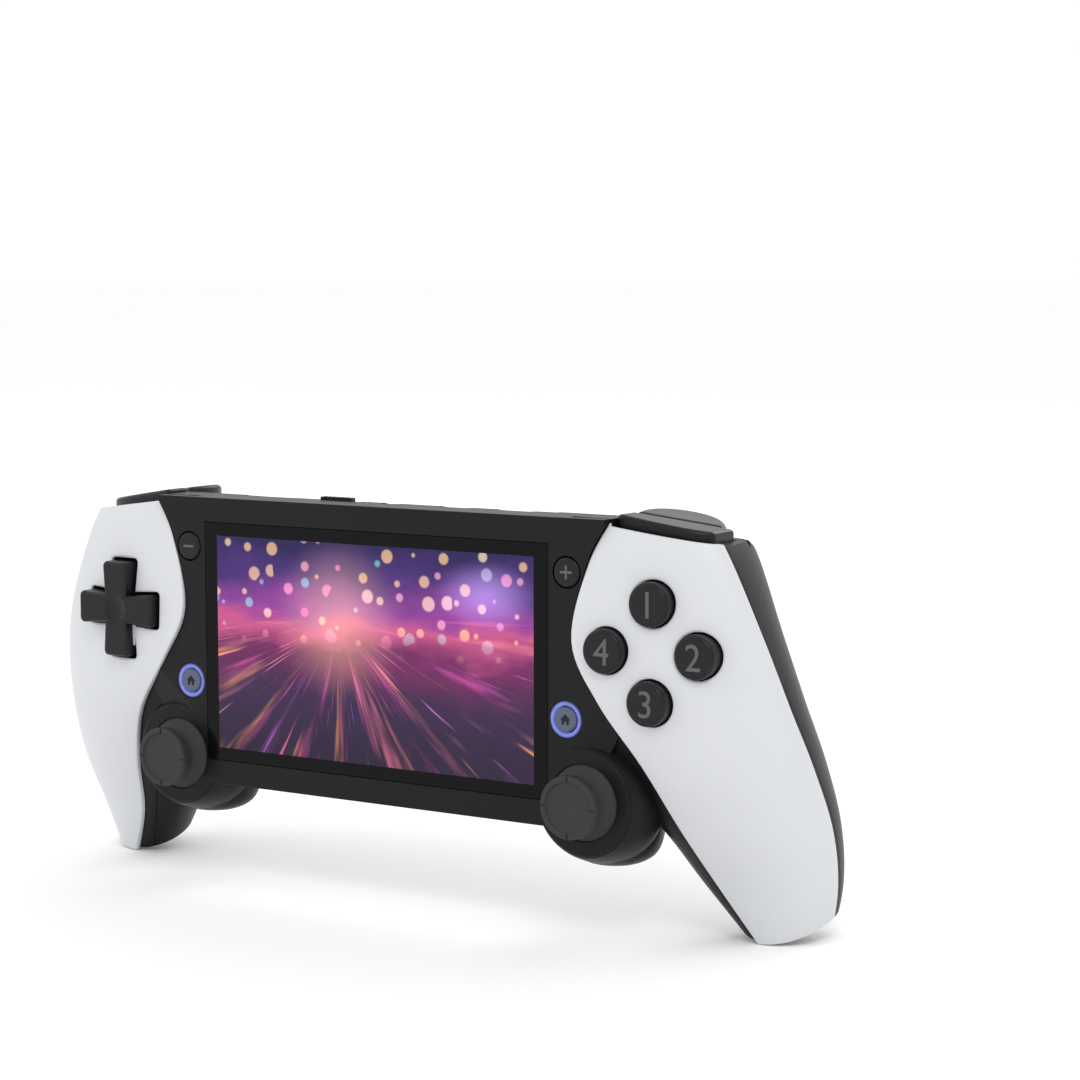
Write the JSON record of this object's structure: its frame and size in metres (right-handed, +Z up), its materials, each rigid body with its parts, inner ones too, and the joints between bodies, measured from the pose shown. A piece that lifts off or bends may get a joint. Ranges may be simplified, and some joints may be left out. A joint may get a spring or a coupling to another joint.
{
  "type": "handheld_game_console",
  "caption": "Handheld game console with grips, wide screen, white front covers, thumbsticks, cross pad, round buttons and shoulder keys",
  "frame": {"origin": "middle of the bounding box, on the plane of the grips' lowest points", "axes": "+X right seen from the front, +Y from the screen to the back, +Z up"},
  "size_m": [0.2248, 0.0506, 0.1007],
  "materials": {
    "shell": "fine matte grain",
    "cover": "satin",
    "lens": "gloss",
    "screen": "gloss",
    "board": "solder mask",
    "battery": "film",
    "inner_plastic": "moulded",
    "membrane": "silicone",
    "stick_rubber": "matte",
    "light_ring": "lit diffuser",
    "metal": "plated",
    "key": "matte"
  },
  "bodies": {
    "housing": {"front_shell": "shell", "rear_shell": "shell", "left_cover": "cover", "right_cover": "cover", "screen_lens": "lens", "lcd_panel": "screen", "main_board": "board", "battery": "battery", "left_speaker": "inner_plastic", "right_speaker": "inner_plastic", "dpad_membrane": "membrane", "button_membrane": "membrane", "left_home_ring": "light_ring", "right_home_ring": "light_ring", "left_stick_base": "metal", "right_stick_base": "metal", "left_trigger_pin": "metal", "right_trigger_pin": "metal", "left_shoulder_board": "board", "right_shoulder_board": "board", "card_reader": "metal", "headphone_jack": "inner_plastic", "usb_port": "metal", "picture_port": "metal", "case_screws": "metal"},
    "face_button_top": {"face_button_top": "key"},
    "face_button_right": {"face_button_right": "key"},
    "face_button_bottom": {"face_button_bottom": "key"},
    "face_button_left": {"face_button_left": "key"},
    "minus_button": {"minus_button": "key"},
    "plus_button": {"plus_button": "key"},
    "left_home_button": {"left_home_button": "key"},
    "right_home_button": {"right_home_button": "key"},
    "dpad_rocker": {"dpad_rocker": "key"},
    "dpad": {"dpad": "key"},
    "left_stick_yoke": {"left_stick_yoke": "metal"},
    "left_stick_cap": {"left_stick_cap": "stick_rubber"},
    "right_stick_yoke": {"right_stick_yoke": "metal"},
    "right_stick_cap": {"right_stick_cap": "stick_rubber"},
    "left_bumper": {"left_bumper": "key"},
    "left_trigger": {"left_trigger": "key"},
    "right_bumper": {"right_bumper": "key"},
    "right_trigger": {"right_trigger": "key"},
    "power_switch": {"power_switch": "key"}
  },
  "joints": [
    {"name": "face_button_top_press", "type": "slide", "parent": "housing", "child": "face_button_top", "axis": [0, 1, 0], "range_m": [0, 0.0012], "stiffness_N_per_m": 900},
    {"name": "face_button_right_press", "type": "slide", "parent": "housing", "child": "face_button_right", "axis": [0, 1, 0], "range_m": [0, 0.0012], "stiffness_N_per_m": 900},
    {"name": "face_button_bottom_press", "type": "slide", "parent": "housing", "child": "face_button_bottom", "axis": [0, 1, 0], "range_m": [0, 0.0012], "stiffness_N_per_m": 900},
    {"name": "face_button_left_press", "type": "slide", "parent": "housing", "child": "face_button_left", "axis": [0, 1, 0], "range_m": [0, 0.0012], "stiffness_N_per_m": 900},
    {"name": "minus_button_press", "type": "slide", "parent": "housing", "child": "minus_button", "axis": [0, 1, 0], "range_m": [0, 0.0006], "stiffness_N_per_m": 1200},
    {"name": "plus_button_press", "type": "slide", "parent": "housing", "child": "plus_button", "axis": [0, 1, 0], "range_m": [0, 0.0006], "stiffness_N_per_m": 1200},
    {"name": "left_home_button_press", "type": "slide", "parent": "housing", "child": "left_home_button", "axis": [0, 1, 0], "range_m": [0, 0.0006], "stiffness_N_per_m": 1200},
    {"name": "right_home_button_press", "type": "slide", "parent": "housing", "child": "right_home_button", "axis": [0, 1, 0], "range_m": [0, 0.0006], "stiffness_N_per_m": 1200},
    {"name": "dpad_tilt_up_down", "type": "hinge", "parent": "housing", "child": "dpad_rocker", "pos_m": [-0.0792, -0.01425, 0.0695], "axis": [1, 0, 0], "range_deg": [-5, 5], "stiffness_Nm_per_rad": 0.04},
    {"name": "dpad_tilt_left_right", "type": "hinge", "parent": "dpad_rocker", "child": "dpad", "pos_m": [-0.0792, -0.01425, 0.0695], "axis": [0, 0, 1], "range_deg": [-5, 5], "stiffness_Nm_per_rad": 0.04},
    {"name": "left_stick_up_down", "type": "hinge", "parent": "housing", "child": "left_stick_yoke", "pos_m": [-0.061, -0.01005, 0.0332], "axis": [1, 0, 0], "range_deg": [-15, 15], "stiffness_Nm_per_rad": 0.04},
    {"name": "left_stick_left_right", "type": "hinge", "parent": "left_stick_yoke", "child": "left_stick_cap", "pos_m": [-0.061, -0.01005, 0.0332], "axis": [0, 0, 1], "range_deg": [-15, 15], "stiffness_Nm_per_rad": 0.04},
    {"name": "right_stick_up_down", "type": "hinge", "parent": "housing", "child": "right_stick_yoke", "pos_m": [0.061, -0.01005, 0.0332], "axis": [1, 0, 0], "range_deg": [-15, 15], "stiffness_Nm_per_rad": 0.04},
    {"name": "right_stick_left_right", "type": "hinge", "parent": "right_stick_yoke", "child": "right_stick_cap", "pos_m": [0.061, -0.01005, 0.0332], "axis": [0, 0, 1], "range_deg": [-15, 15], "stiffness_Nm_per_rad": 0.04},
    {"name": "left_bumper_press", "type": "slide", "parent": "housing", "child": "left_bumper", "axis": [0, 0, -1], "range_m": [0, 0.001], "stiffness_N_per_m": 1000},
    {"name": "left_trigger_pull", "type": "hinge", "parent": "housing", "child": "left_trigger", "pos_m": [-0.06397, -0.00394, 0.0935], "axis": [-0.9489, 0.3156, 0], "range_deg": [0, 8], "stiffness_Nm_per_rad": 0.25},
    {"name": "right_bumper_press", "type": "slide", "parent": "housing", "child": "right_bumper", "axis": [0, 0, -1], "range_m": [0, 0.001], "stiffness_N_per_m": 1000},
    {"name": "right_trigger_pull", "type": "hinge", "parent": "housing", "child": "right_trigger", "pos_m": [0.06397, -0.00394, 0.0935], "axis": [-0.9489, -0.3156, 0], "range_deg": [0, 8], "stiffness_Nm_per_rad": 0.25},
    {"name": "power_switch_slide", "type": "slide", "parent": "housing", "child": "power_switch", "axis": [1, 0, 0], "range_m": [0, 0.0025]}
  ]
}
